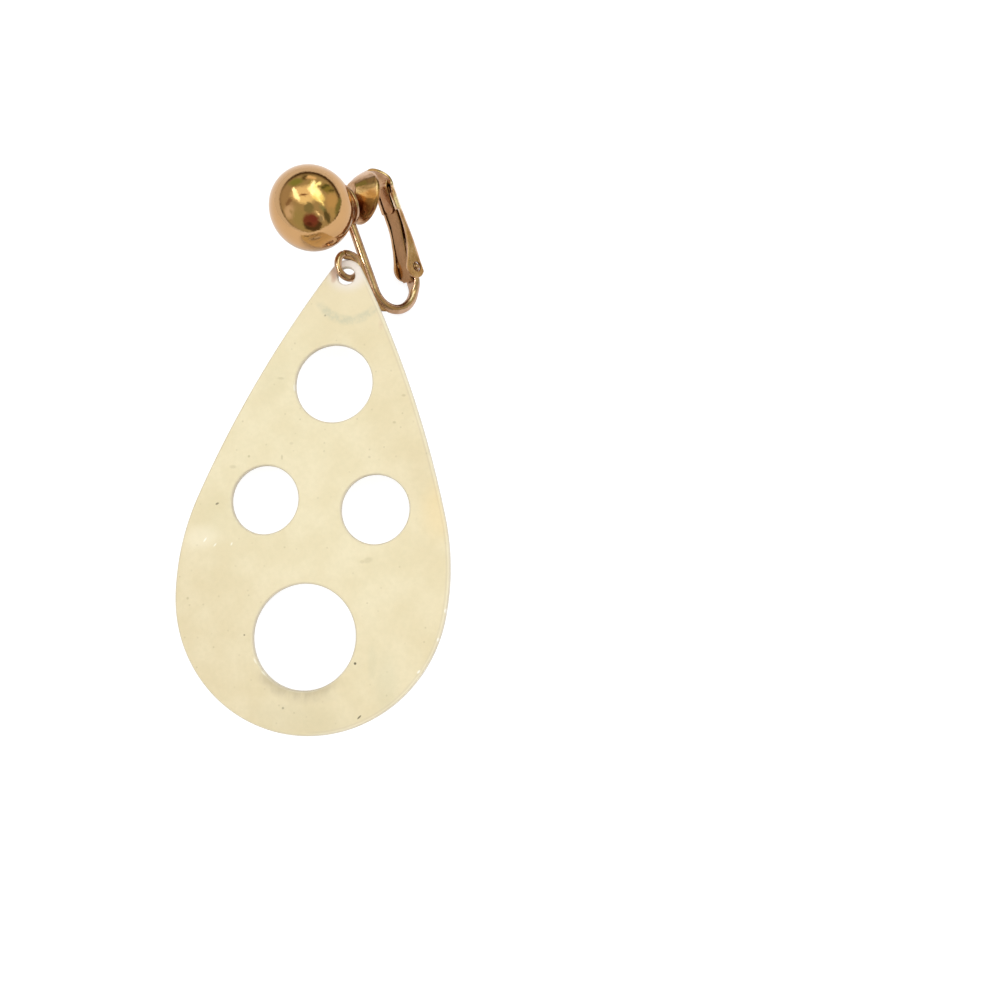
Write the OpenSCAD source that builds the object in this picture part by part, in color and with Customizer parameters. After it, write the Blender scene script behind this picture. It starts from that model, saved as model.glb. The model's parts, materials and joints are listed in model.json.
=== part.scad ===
// A clip-on earring, lying on a table with its lever shut.
// A polished hollow ball shows on the front of the ear. Behind it a bent wire carries a
// sprung lever with a fluted cup, which presses on the back of the lobe. A flat enamelled
// teardrop hangs from a loop on the wire.
// Three frames are used. The drop's frame has its origin at the loop hole, +Y along the
// drop towards the hole and +Z out of its front. The clip's frame has its origin at the
// centre of the ball, +X towards the back of the ear, +Y up as it is worn and +Z across
// the clip. The finished part stands in the table's frame, +Z up, with the origin at the
// middle of its base.

/* [Drop] */
// Length of the teardrop, from its round top to its broad end
drop_l = 58.2; // [54:0.1:64]
// Radius of the broad end
end_r = 16.8; // [15.5:0.1:18]
// Radius of the flanks where they leave the broad end
side_r = 30; // [24:1:40]
// Radius of the round top
top_r = 2.1; // [1.8:0.1:2.6]
// Thickness of the enamelled sheet
sheet = 0.7; // [0.5:0.1:0.8]
// Diameter of the hole for the loop
loop_hole_d = 2.2; // [2:0.1:2.6]

/* [Round holes] */
// Diameter of the upper hole
upper_d = 9.7; // [7:0.1:11]
// Diameter of the two middle holes
middle_d = 8.4; // [6:0.1:9]
// Diameter of the lower hole
lower_d = 12.6; // [9:0.1:14]
// Distance of the upper hole below the loop hole
upper_y = 13.7; // [12:0.1:15]
// Distance of the middle holes below the loop hole
middle_y = 28.7; // [27:0.1:31]
// Distance of the lower hole below the loop hole
lower_y = 44.6; // [43:0.1:46]
// Half the spacing of the middle holes
middle_x = 6.9; // [6:0.1:8]

/* [Ball] */
// Diameter of the ball
ball_d = 10; // [9:0.1:10]
// Wall of the hollow ball
ball_wall = 0.5; // [0.3:0.1:1]
// Diameter of the peg that holds the ball
peg_d = 1.2; // [1:0.1:1.6]

/* [Wire frame] */
// Diameter of the dish behind the ball
dish_d = 5.6; // [5:0.1:6]
// Diameter of the wire below the dish
leg_d = 0.94; // [0.8:0.02:1]
// Diameter of the wire in the bend
bend_d = 1.2; // [1:0.05:1.3]
// Radius of the bend, to the middle of the wire
bend_r = 3.2; // [3.1:0.05:3.3]
// Radius of the loop, to the middle of its wire
loop_r = 1.5; // [1.4:0.05:1.6]
// Diameter of the loop's wire
loop_wire_d = 0.68; // [0.6:0.02:0.7]

/* [Clip lever] */
// Outside width of the channel
channel_w = 3; // [2.8:0.1:3.4]
// Thickness of the lever's metal
plate = 0.36; // [0.3:0.02:0.4]
// Width of the arm where it runs into the channel
arm_w = 2.6; // [2.2:0.1:2.8]
// Width of the arm's neck at the cup
neck_w = 1.1; // [0.9:0.1:1.6]
// Radius of the cup at its rim
cup_r = 3.35; // [3:0.05:3.5]
// Depth of the cup
cup_deep = 2.15; // [1.8:0.05:2.3]
// Number of flutes round the cup
flutes = 20; // [14:1:24]
// Depth of the flutes as a share of the radius
flute_depth = 0.02; // [0:0.005:0.03]
// Diameter of the hinge pin
pin_d = 0.9; // [0.8:0.02:1]

/* [Leaf spring] */
// Width of the leaf spring
leaf_w = 1.9; // [1.6:0.1:2]
// Thickness of the leaf spring
leaf_t = 0.22; // [0.16:0.02:0.24]

/* [How it lies] */
// Pitch of the drop, its loop end raised
rest_pitch = 7.66; // [5:0.01:10]
// Roll of the drop, its left side low
rest_roll = -3.94; // [-6:0.01:0]

/* [Hidden] */
$fn = 64;

gold = [0.80, 0.58, 0.33];
cream = [0.93, 0.89, 0.75];

// Gap between pieces that are seated on each other
seat_gap = 0.04;
// Running gap of the lever's ears on the pin
run_gap = 0.06;

// The clip in the drop's frame: the ball's centre, and the turn of the clip's axes
ball_at = [-3.8, 6.3, 4.8];
clip_turn = [33, 41, 45];
// The drop's loop hole in the table's frame
hole_at = [-0.35, 20.36, 8.085];

// Heights and depths in the clip's frame
dish_x = 5.05;
dish_t = 0.4;
collar_r = 2.4;
leg_x = 5.43;
leg_top = -1.7;
bend_y = -11.2;
pin_at = [12, -10.1];
loop_at = [2.46, -7.45];
loop_gap = [78, 86];
ear_r = 1.4;
head_r = 0.76;
head_w = 2.0;
arm_bend = [10.55, 0.8];
arm_bend_r = 2.1;
back_knee = [12.65, -2.8];
back_bottom = [13.1, -8.8];
// The middle of the cup's rim, and how far the cup leans down behind the ear
cup_at = [8.55, -0.42];
cup_lean = 28;

// A point of an arc
function arc_point(centre, radius, angle) =
    centre + radius * [cos(angle), sin(angle)];

// Points of an arc between two angles, in equal steps
function arc(centre, radius, from, to, steps) =
    [for (i = [0 : steps]) arc_point(centre, radius, from + (to - from) * i / steps)];

// The right half of the teardrop. The broad end is an arc up to end_to, then a flatter arc
// up to side_to, then the long flank, whose radius is worked out so that it meets the round
// top smoothly.
end_to = -6;
side_to = 17.5;
end_c = [0, top_r - drop_l + end_r];
side_c = end_c - (side_r - end_r) * [cos(end_to), sin(end_to)];
side_dir = [cos(side_to), sin(side_to)];
flank_more = (side_c * side_c - pow(side_r - top_r, 2)) /
    (2 * (side_c * side_dir + side_r - top_r));
flank_c = side_c - flank_more * side_dir;
flank_r = side_r + flank_more;
flank_to = atan2(-flank_c[1], -flank_c[0]);
right_half = concat(
    arc(end_c, end_r, -90, end_to, 20),
    arc(side_c, side_r, end_to, side_to, 10),
    arc(flank_c, flank_r, side_to, flank_to, 12),
    arc([0, 0], top_r, flank_to, 90, 8));
left_half = [for (i = [len(right_half) - 2 : -1 : 1]) [-right_half[i][0], right_half[i][1]]];

// One ring of the fluted cup, round a radius
function fluted(radius) =
    [for (i = [0 : 4 * flutes - 1])
        let (a = 360 * i / (4 * flutes))
        arc_point([0, 0], radius * (1 + flute_depth * cos(flutes * a)), a)];

// The ears' front edge is a parabola from the channel to the round of the ear, which it
// meets where both slope by the same angle
ear_c = [pin_at[0] - 0.25, pin_at[1]];
swing_top = -4;
channel_front = 12;
meet_angle = 151.3;
meet = ear_c + ear_r * [cos(meet_angle), sin(meet_angle)];
function front_edge(y) =
    channel_front - (channel_front - meet[0]) * pow((swing_top - y) / (swing_top - meet[1]), 2);

// From the drop's frame to the table
module lay() {
    translate(hole_at) rotate([rest_pitch, rest_roll, 0]) children();
}

// From the clip's frame to the table
module clip() {
    lay() translate(ball_at) rotate(clip_turn) children();
}

// Turns what stands on Z so that it points along the clip's X, from a depth
module along_x(x) {
    translate([x, 0, 0]) rotate([0, 90, 0]) children();
}

// Turns what stands on Z so that it points up the clip's Y, from a place
module along_y(at) {
    translate([at[0], at[1], 0]) rotate([-90, 0, 0]) children();
}

// A hollow ball with a hole in its back for the peg of the dish
module ball() {
    color(gold) clip() along_x(0) difference() {
        sphere(d = ball_d, $fn = 96);
        sphere(d = ball_d - 2 * ball_wall, $fn = 96);
        translate([0, 0, ball_d / 4]) cylinder(h = ball_d, d = peg_d + 2 * seat_gap);
    }
}

// A stepped disc, hollowed to the ball, with the peg that enters the ball
module dish() {
    seat_r = ball_d / 2 + seat_gap;
    collar_wall = 0.2;
    seat_edge = acos((collar_r - collar_wall) / seat_r);
    peg_in = 1.5;
    along_x(0) rotate_extrude() polygon(concat(
        arc([0, 0], seat_r, 90, seat_edge, 8),
        [[collar_r, seat_r * sin(seat_edge)], [collar_r, dish_x], [dish_d / 2, dish_x],
        [dish_d / 2, dish_x + dish_t], [0, dish_x + dish_t]]));
    along_x(ball_d / 2 - peg_in) cylinder(h = peg_in + dish_t / 2, d = peg_d);
}

// The wire: a leg that thickens downwards, and the bend under the lobe
module wire() {
    along_y([leg_x, bend_y]) cylinder(h = leg_top - bend_y, d1 = bend_d, d2 = leg_d);
    translate([leg_x + bend_r, bend_y, 0]) rotate([0, 0, 180])
        rotate_extrude(angle = 180) translate([bend_r, 0]) circle(d = bend_d);
}

// The flattened end of the wire, which the pin goes through
module hinge_head() {
    head_thick = 0.75 * bend_d;
    neck_half = 0.46 * bend_d;
    neck_y = bend_y - 1.4;
    along_x(leg_x + 2 * bend_r - head_thick / 2) linear_extrude(head_thick) polygon([
        [-neck_half, neck_y], [neck_half, neck_y],
        [head_w / 2, bend_y], [head_w / 2, pin_at[1]],
        [-head_w / 2, pin_at[1]], [-head_w / 2, bend_y]]);
    translate([pin_at[0], pin_at[1], -head_w / 2]) cylinder(h = head_w, r = head_r);
}

// The open ring that carries the drop, and its shank, a strip along the leg that thins out
// below on the bend
module loop() {
    translate([loop_at[0], loop_at[1], 0]) rotate([0, 0, loop_gap[1]])
        rotate_extrude(angle = 360 + loop_gap[0] - loop_gap[1])
        translate([loop_r, 0]) circle(d = loop_wire_d, $fn = 32);
    translate([0, 0, -loop_wire_d / 2]) linear_extrude(loop_wire_d) polygon([
        [3.4, -6], [3.85, -6.15], [4.25, -6.42], [4.6, -6.85],
        [leg_x, -7], [leg_x, bend_y - 1], [6.4, bend_y - 2.5], [6.3, bend_y - 3],
        [5.75, -14.05], [5.15, -13.7], [4.74, -13.25], [4.5, -12.65], [4.38, -12],
        [4.27, -11.3], [4.1, -10], [3.92, -8.8], [3.8, -7.9], [3.66, -7.4]]);
}

module clip_frame() {
    color(gold) clip() difference() {
        union() {
            dish();
            wire();
            hinge_head();
            loop();
        }
        translate([pin_at[0], pin_at[1], -channel_w])
            cylinder(h = 2 * channel_w, d = pin_d + 2 * seat_gap);
    }
}

// A plain rivet with chamfered ends, which show in the ears
module hinge_pin() {
    chamfer = 0.12;
    pin_l = channel_w + 0.3;
    color(gold) clip() translate([pin_at[0], pin_at[1], -pin_l / 2]) {
        cylinder(h = chamfer, d1 = pin_d - 2 * chamfer, d2 = pin_d);
        translate([0, 0, chamfer]) cylinder(h = pin_l - 2 * chamfer, d = pin_d);
        translate([0, 0, pin_l - chamfer])
            cylinder(h = chamfer, d1 = pin_d, d2 = pin_d - 2 * chamfer);
    }
}

// The fluted cup, narrow towards the ear and open at the back. Its wall is one surface
// through fluted rings, from the middle of its front out to the rim and back inside.
module cup() {
    front_r = 0.39 * cup_r;
    waist_r = 0.72 * cup_r;
    waist = -0.56 * cup_deep;
    lip = 0.35;
    skew = 0.7 * plate;
    //       depth              radius
    rings = [
        [-cup_deep,         front_r],
        [waist,             waist_r],
        [-lip,              cup_r],
        [0,                 cup_r],
        [0,                 cup_r - plate],
        [skew - lip,        cup_r - plate],
        [waist + skew,      waist_r - skew],
        [plate - cup_deep,  front_r - 0.3 * plate]];
    n = 4 * flutes;
    last = n * (len(rings) - 1);
    translate([cup_at[0], cup_at[1], 0]) rotate([0, 0, -cup_lean]) along_x(0) polyhedron(
        points = [for (ring = rings) for (p = fluted(ring[1])) [p[0], p[1], ring[0]]],
        faces = concat(
            [[for (i = [0 : n - 1]) i]],
            [for (k = [0 : len(rings) - 2]) for (i = [0 : n - 1])
                let (j = (i + 1) % n)
                [k * n + i, (k + 1) * n + i, (k + 1) * n + j, k * n + j]],
            [[for (i = [n - 1 : -1 : 0]) last + i]]));
}

// The neck of the arm, from the rim of the cup round the bend. Seen from above it widens
// from the cup to the channel.
module neck() {
    top_y = arm_bend[1] + arm_bend_r;
    plan_at = [11.2, 2.8];
    plan_turn = 54;
    intersection() {
        union() {
            translate([0, 0, -arm_w / 2]) linear_extrude(arm_w) polygon([
                [9.75, 2.7], [arm_bend[0], top_y],
                [arm_bend[0], top_y - plate], [9.9, 2.3]]);
            translate([arm_bend[0], arm_bend[1], 0]) rotate_extrude(angle = 90)
                translate([arm_bend_r - plate, -arm_w / 2]) square([plate, arm_w]);
        }
        translate([plan_at[0], plan_at[1], 0]) rotate([90, 0, -plan_turn])
            translate([0, 0, -4]) linear_extrude(8) polygon([
                [-3, -neck_w / 2], [0.1, -neck_w / 2], [2.5, -arm_w / 2], [4, -arm_w / 2],
                [4, arm_w / 2], [2.5, arm_w / 2], [0.1, neck_w / 2], [-3, neck_w / 2]]);
    }
}

// The straight back, from the bend down to the hinge
module back() {
    back_x = arm_bend[0] + arm_bend_r;
    translate([0, 0, -arm_w / 2]) linear_extrude(arm_w) polygon([
        [back_x - plate, arm_bend[1] + 0.01], [back_x, arm_bend[1] + 0.01],
        back_knee, back_bottom,
        [back_bottom[0] - plate, back_bottom[1]], [back_knee[0] - plate, back_knee[1]]]);
}

// One side wall of the channel, ending in the ear
module side_wall() {
    steps = 10;
    linear_extrude(plate) polygon(concat(
        [[arm_bend[0] + arm_bend_r, 0.75], [12.3, 0.5], [channel_front, -0.6]],
        [for (i = [0 : steps])
            let (y = swing_top + (meet[1] - swing_top) * i / steps)
            [front_edge(y), y]],
        [ear_c, [ear_c[0] + ear_r, ear_c[1]], back_bottom, back_knee]));
    translate([ear_c[0], ear_c[1], 0]) cylinder(h = plate, r = ear_r);
}

// The tongue that holds down the top of the leaf spring
module tongue() {
    tongue_w = 1.7;
    tongue_end = -2;
    root_y = 0.45;
    front_x = 11.74;
    thick = 0.24;
    root_depth = arm_bend[0] + arm_bend_r - plate / 2 - front_x;
    along_x(front_x) linear_extrude(thick) translate([-tongue_w / 2, tongue_end])
        square([tongue_w, arm_bend[1] - tongue_end]);
    along_x(front_x) translate([0, tongue_end, 0]) cylinder(h = thick, d = tongue_w);
    translate([front_x, root_y, -tongue_w / 2])
        cube([root_depth, arm_bend[1] - root_y, tongue_w]);
}

module clip_lever() {
    color(gold) clip() difference() {
        union() {
            cup();
            neck();
            back();
            translate([0, 0, channel_w / 2 - plate]) side_wall();
            translate([0, 0, -channel_w / 2]) side_wall();
            tongue();
        }
        translate([pin_at[0], pin_at[1], -channel_w])
            cylinder(h = 2 * channel_w, d = pin_d + 2 * run_gap);
    }
}

// A flat strip held behind the tongue, which leans forward over the hinge and ends in a lip
module spring_leaf() {
    held = [[12.02, 0.35], [12.02, -4]];
    tip = [10.72, -11.3];
    lip = [10.9, -11.55];
    back = [leaf_t, 0];
    color(gold) clip() translate([0, 0, -leaf_w / 2]) linear_extrude(leaf_w) polygon([
        held[0], held[1], tip, lip,
        lip + back, tip + back, held[1] + back, held[0] + back]);
}

// The teardrop, in the drop's own frame
module drop() {
    color(cream) lay() difference() {
        translate([0, 0, -sheet / 2]) linear_extrude(sheet)
            polygon(concat(right_half, left_half));
        for (hole = [
            [0, 0, loop_hole_d],
            [0, -upper_y, upper_d],
            [-middle_x, -middle_y, middle_d],
            [middle_x, -middle_y, middle_d],
            [0, -lower_y, lower_d]])
            translate([hole[0], hole[1], -sheet]) cylinder(h = 2 * sheet, d = hole[2]);
    }
}

ball();
clip_frame();
hinge_pin();
clip_lever();
spring_leaf();
drop();
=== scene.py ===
"""A clip-on earring that lies on a pale table: a polished ball, a bent wire with a sprung
lever, and a cream enamelled teardrop. Lengths inside the functions are millimetres."""

import json
import math

import bmesh
import bpy
import numpy as np
from bpy.props import FloatProperty, FloatVectorProperty, IntProperty, PointerProperty
from bpy.types import NodeSocket, Operator, Panel, PropertyGroup
from mathutils import Matrix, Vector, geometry


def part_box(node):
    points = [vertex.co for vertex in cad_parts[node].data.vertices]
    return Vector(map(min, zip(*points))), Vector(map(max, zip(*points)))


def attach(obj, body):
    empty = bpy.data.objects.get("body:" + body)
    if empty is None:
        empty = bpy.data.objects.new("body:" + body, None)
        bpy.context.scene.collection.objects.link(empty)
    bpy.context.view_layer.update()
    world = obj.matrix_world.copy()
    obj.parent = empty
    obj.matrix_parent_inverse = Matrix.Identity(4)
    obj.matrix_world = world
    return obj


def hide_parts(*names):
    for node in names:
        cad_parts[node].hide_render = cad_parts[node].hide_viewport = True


bl_info = {
    "name": "Clip-on Earring",
    "version": (1, 0, 0),
    "blender": (4, 5, 0),
    "location": "3D View > Sidebar > Earring",
    "description": "Builds a clip-on earring with a ball, a sprung lever and an enamelled drop",
    "category": "Add Mesh",
}

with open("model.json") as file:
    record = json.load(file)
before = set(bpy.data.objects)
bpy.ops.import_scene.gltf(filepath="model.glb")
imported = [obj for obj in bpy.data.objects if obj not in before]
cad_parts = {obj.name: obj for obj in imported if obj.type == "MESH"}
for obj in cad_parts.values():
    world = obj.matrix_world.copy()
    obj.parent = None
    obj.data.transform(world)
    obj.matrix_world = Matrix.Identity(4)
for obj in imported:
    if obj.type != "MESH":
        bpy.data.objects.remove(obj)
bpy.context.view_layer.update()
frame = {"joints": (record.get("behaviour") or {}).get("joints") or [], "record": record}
MM = 0.001

# The clip's frame has its origin at the ball's centre, X to the back of the ear, Y up as it
# is worn and Z across the clip. The drop's frame has its origin at the loop hole, Y along
# the drop and Z out of its front.
BALL_BOX = np.array(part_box("ball"))
BALL_CENTRE = (BALL_BOX[0] + BALL_BOX[1]) / 2
CLIP_X = np.array(frame["record"]["mounts"][0]["axis"], float)
CLIP_Z = -np.array(frame["joints"][0]["axis"], float)
CLIP_AXES = np.stack([CLIP_X, np.cross(CLIP_Z, CLIP_X), CLIP_Z], 1)

# Places in the clip's frame: the ball's shift towards the dish, the dish's collar and disc,
# the wire's leg and bend, the hinge, the loop, and the lever's ears and channel
BALL_OFF = (0.14, 0.10, 0.0)
SEAT_R = 5.04
COLLAR_X, COLLAR_R = 4.62, 2.16
DISH_X, DISH_THICK, DISH_DOWN = 4.88, 0.44, -0.5
LEG_X, LEG_TOP = 5.12, -1.9
BEND_Y, BEND_R = -11.2, 3.355
PIN = np.array([12.0, -10.1])
LOOP = np.array([2.46, -7.45])
EAR, EAR_R = np.array([11.75, -10.1]), 1.4
CHANNEL_FRONT, SWING_TOP = 12.03, -4.0

# How polishing lines are drawn out: down the leg, or from front to back
ALONG_LEG, FRONT_TO_BACK = (14, 1.5, 14), (1.5, 14, 14)


def unit(v):
    """A vector, or each row of an array of them, divided by its length."""
    return np.asarray(v, float) / np.linalg.norm(v, axis=-1, keepdims=True)


def bearing(degrees):
    """The unit vector at an angle: (cos, sin)."""
    return np.array([math.cos(math.radians(degrees)), math.sin(math.radians(degrees))])


def smooth(t):
    """A share eased at both ends: 3 t squared less 2 t cubed."""
    t = np.clip(t, 0, 1)
    return t * t * (3 - 2 * t)


def lengths_along(line):
    """How far along a line each of its points lies."""
    return np.r_[0, np.cumsum(np.linalg.norm(np.diff(line, axis=0), axis=1))]


def to_table(points, origin, axes):
    """Millimetres in a frame become metres on the table: origin plus the axes times them."""
    return origin + points @ axes.T * MM


def arc(centre, radius, start, stop, steps):
    """Points of an arc between two angles in degrees: centre plus radius times (cos, sin)."""
    a = np.radians(np.linspace(start, stop, steps + 1))
    return np.asarray(centre, float) + radius * np.stack([np.cos(a), np.sin(a)], 1)


def fillet(corners, radii, closed=False, steps=6):
    """A polyline with its corners rounded. Each corner becomes the arc that touches both
    of its sides at radius times tan(turn / 2) from it."""
    pts = np.asarray(corners, float)
    n = len(pts)
    t = np.linspace(0, 1, steps + 1)[:, None]
    out = []
    for i, r in enumerate(radii):
        if r <= 0 or (not closed and i in (0, n - 1)):
            out.append(pts[i:i + 1])
            continue
        a, b = unit(pts[i - 1] - pts[i]), unit(pts[(i + 1) % n] - pts[i])
        half = math.acos(np.clip(a @ b, -1, 1)) / 2
        centre = pts[i] + unit(a + b) * r / math.sin(half)
        start, stop = pts[i] + a * r / math.tan(half), pts[i] + b * r / math.tan(half)
        out.append(centre + r * unit((1 - t) * (start - centre) + t * (stop - centre)))
    return np.concatenate(out)


def resample(points, step, closed=False):
    """The same line with its points evenly spaced by length."""
    pts = np.vstack([points, points[:1]]) if closed else points
    pts = pts[np.r_[True, np.linalg.norm(np.diff(pts, axis=0), axis=1) > 1e-6]]
    along = lengths_along(pts)
    t = np.linspace(0, along[-1], max(math.ceil(along[-1] / step), 4) + 1)
    if closed:
        t = t[:-1]
    return np.stack([np.interp(t, along, pts[:, k]) for k in (0, 1)], 1)


def mirrored(half):
    """A closed rim from its right half, which starts and ends on the Y axis."""
    return np.vstack([half, half[-2:0:-1] * (-1, 1)])


def grid_faces(rows, cols):
    """The quads of a grid of rows by cols points, whose columns run round."""
    i, j = np.arange(rows - 1)[:, None] * cols, np.arange(cols)[None, :]
    k = (j + 1) % cols
    return np.stack([i + j, i + k, i + cols + k, i + cols + j], -1).reshape(-1, 4)


def lathe(profile, segments, flutes=0, depth=0.0):
    """A turned part: each (depth, radius) of the profile carried once round the X axis.
    Flutes scale the radius by 1 plus their depth times the cosine of count times the angle."""
    a = np.linspace(0, 2 * math.pi, segments, endpoint=False)
    x = profile[:, :1] * np.ones_like(a)
    r = profile[:, 1:] * (1 + depth * np.cos(flutes * a))
    pts = np.stack([x, r * np.cos(a), r * np.sin(a)], -1)
    return pts.reshape(-1, 3), grid_faces(len(profile), segments)


def section(half_w, half_t, corner, steps):
    """The outline of a wire or strip: four quarter rounds of one radius, pushed out to the
    corners of its width and thickness. Equal halves and radius make a round wire."""
    a = np.radians(np.linspace(0, 90, steps + 1))
    ang = np.concatenate([a + k * math.pi / 2 for k in range(4)])
    turn = np.repeat([[1, 1], [-1, 1], [-1, -1], [1, -1]], steps + 1, axis=0)
    w = turn[:, 0] * (half_w - corner)[:, None] + corner[:, None] * np.cos(ang)
    t = turn[:, 1] * (half_t - corner)[:, None] + corner[:, None] * np.sin(ang)
    return w, t


def sweep(path, half_w, half_t, corner, domes, steps=4):
    """A wire or strip: its section carried along a path in the clip's XY plane, with the
    width across the clip. Each end is closed by a dome of its own height, whose rings
    shrink by the cosine while they move out by the sine."""
    n = len(path)
    cap = np.radians([90, 80, 60, 40, 20])
    index = np.r_[np.zeros(5, int), np.arange(n), np.full(5, n - 1)]
    shift = np.r_[-domes[0] * np.sin(cap), np.zeros(n), domes[1] * np.sin(cap[::-1])]
    size = np.maximum(np.r_[np.cos(cap), np.ones(n), np.cos(cap[::-1])], 1e-6)
    w, t = section(*(np.broadcast_to(v, n)[index] * size for v in (half_w, half_t, corner)),
                   steps)
    tangent = unit(np.gradient(path, axis=0))[index]
    side = np.stack([-tangent[:, 1], tangent[:, 0]], 1)
    xy = (path[index] + shift[:, None] * tangent)[:, None] + t[..., None] * side[:, None]
    return (np.concatenate([xy, w[..., None]], -1).reshape(-1, 3),
            grid_faces(len(index), w.shape[1]))


def inside(points, loops):
    """Which points lie within the outline and outside its holes, by counting crossings."""
    hits = np.zeros(len(points), int)
    x, y = points[:, 0:1], points[:, 1:2]
    for a in loops:
        b = np.roll(a, -1, axis=0)
        dy = b[:, 1] - a[:, 1]
        dy = np.where(np.abs(dy) < 1e-12, 1e-12, dy)
        cut = (a[:, 1] > y) != (b[:, 1] > y)
        at = a[:, 0] + (y - a[:, 1]) * (b[:, 0] - a[:, 0]) / dy
        hits += (cut & (x < at)).sum(1)
    return hits % 2 == 1


def rim_distance(points, rim):
    """The distance of each point from a rim, to the nearest point of its segments, worked
    out in blocks to spare memory."""
    d = np.roll(rim, -1, axis=0) - rim
    out = np.empty(len(points))
    block = 4000
    for k in range(0, len(points), block):
        p = points[k:k + block, None, :] - rim
        t = np.clip((p * d).sum(-1) / (d * d).sum(-1), 0, 1)
        out[k:k + block] = np.linalg.norm(p - t[..., None] * d, axis=-1).min(1)
    return out


def plate(loops, thick, edge_r, spacing):
    """A flat plate with rounded edges. A profile of a flat lead, a quarter round, the side,
    a quarter round and a lead is carried along each rim, and a triangle net on a grid of
    points fills both faces."""
    flat_lead = 0.05
    a = np.linspace(0, math.pi / 2, 6)
    inset = np.r_[edge_r + flat_lead, edge_r * (1 - np.sin(a))]
    height = np.r_[thick / 2, thick / 2 - edge_r * (1 - np.cos(a))]
    inset, height = np.r_[inset, inset[::-1]], np.r_[height, -height[::-1]]
    parts, rims, edges, count = [], [], [], 0
    for loop in loops:
        run = np.roll(loop, -1, axis=0) - np.roll(loop, 1, axis=0)
        out = unit(np.stack([run[:, 1], -run[:, 0]], 1))
        xy = loop - inset[:, None, None] * out
        z = np.broadcast_to(height[:, None, None], (*xy.shape[:2], 1))
        parts.append((np.concatenate([xy, z], -1).reshape(-1, 3),
                      grid_faces(len(inset), len(loop))))
        rims.append(xy[0])
        i = np.arange(len(loop))
        edges += (np.stack([i, (i + 1) % len(loop)], 1) + count).tolist()
        count += len(loop)
    spans = [np.arange(low, high, spacing) + spacing / 2
             for low, high in zip(rims[0].min(0), rims[0].max(0))]
    net = np.stack(np.meshgrid(*spans), -1).reshape(-1, 2)
    net = net[inside(net, rims)]
    for rim in rims:
        net = net[rim_distance(net, rim) > 0.5 * spacing]
    flat = np.concatenate(rims + [net])
    made = geometry.delaunay_2d_cdt(flat.tolist(), edges, [], 0, 1e-7)
    spots = np.array(made[0])
    tris = np.array(made[2])
    tris = tris[inside(spots[tris].mean(1), rims)]
    for side, turned in ((1, tris), (-1, tris[:, ::-1])):
        z = np.full((len(spots), 1), side * thick / 2)
        parts.append((np.concatenate([spots, z], 1), turned))
    return parts


def keep_vectors(mesh, name, vectors):
    """An attribute with a vector for each of the mesh's points."""
    kept = mesh.attributes.new(name, "FLOAT_VECTOR", "POINT")
    kept.data.foreach_set("vector", vectors.ravel())


def build_piece(name, parts, origin, axes, body, cad_node, material, place, sharp=35):
    """Joins the parts into one mesh in metres, welds it, turns its faces outwards, keeps
    each point's place in its own frame for the finish, and stands it for its CAD node."""
    verts, faces, start = [], [], 0
    for pts, grid in parts:
        faces.extend((grid + start).tolist())
        verts.append(to_table(pts, origin, axes))
        start += len(pts)
    mesh = bpy.data.meshes.new(name)
    mesh.from_pydata(np.concatenate(verts), [], faces)
    work = bmesh.new()
    work.from_mesh(mesh)
    bmesh.ops.remove_doubles(work, verts=work.verts, dist=2e-7)
    loose = [v for v in work.verts if not v.link_faces]
    bmesh.ops.delete(work, geom=loose, context="VERTS")
    bmesh.ops.recalc_face_normals(work, faces=work.faces)
    work.to_mesh(mesh)
    work.free()
    co = np.zeros(len(mesh.vertices) * 3)
    mesh.vertices.foreach_get("co", co)
    local = (co.reshape(-1, 3) - origin) @ axes / MM
    keep_vectors(mesh, place, local)
    mesh.shade_smooth()
    mesh.set_sharp_from_angle(angle=math.radians(sharp))
    mesh.materials.append(material)
    piece = bpy.data.objects.new(name, mesh)
    bpy.context.scene.collection.objects.link(piece)
    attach(piece, body)
    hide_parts(cad_node)
    return piece, local


def clip_piece(name, parts, body, cad_node, material, sharp=35):
    """A piece of the clip, made in the clip's frame."""
    return build_piece(name, parts, BALL_CENTRE, CLIP_AXES, body, cad_node, material,
                       "worn", sharp)[0]


def along_pin(part):
    """Turns a part made round X so that it stands across the clip, on the hinge's axis."""
    pts, faces = part
    return np.stack([PIN[0] + pts[:, 1], PIN[1] + pts[:, 2], pts[:, 0]], 1), faces


# Shader helpers


def feed(tree, socket, value):
    """Links a value that is a socket, and sets one that is a plain number or colour."""
    if isinstance(value, NodeSocket):
        tree.links.new(value, socket)
    else:
        socket.default_value = value


def node(tree, kind, inputs=None, **settings):
    made = tree.nodes.new(kind)
    for key, value in settings.items():
        setattr(made, key, value)
    for key, value in (inputs or {}).items():
        feed(tree, made.inputs[key], value)
    return made


def empty_tree(block):
    """The emptied node tree of a material or of the world."""
    block.use_nodes = True
    block.node_tree.nodes.clear()
    return block.node_tree


def rgba(colour):
    return (*colour[:3], 1.0)


def tint(tree, share, under, colour):
    """A colour laid by a share over another, which may come from a socket."""
    under = under if isinstance(under, NodeSocket) else rgba(under)
    return node(tree, "ShaderNodeMix", {0: share, 6: under, 7: rgba(colour)},
                data_type="RGBA").outputs[2]


def ramp(tree, value, low, high, to_low=0.0, to_high=1.0):
    """A smooth step of a value from one level to another."""
    return node(tree, "ShaderNodeMapRange",
                {"Value": value, "From Min": low, "From Max": high, "To Min": to_low,
                 "To Max": to_high}, interpolation_type="SMOOTHSTEP").outputs["Result"]


def maths(tree, kind, *values):
    return node(tree, "ShaderNodeMath", dict(enumerate(values)), operation=kind).outputs[0]


def times(tree, a, b):
    return maths(tree, "MULTIPLY", a, b)


def gap(tree, a, b):
    """How far apart two values are."""
    return maths(tree, "ABSOLUTE", maths(tree, "SUBTRACT", a, b))


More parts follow.
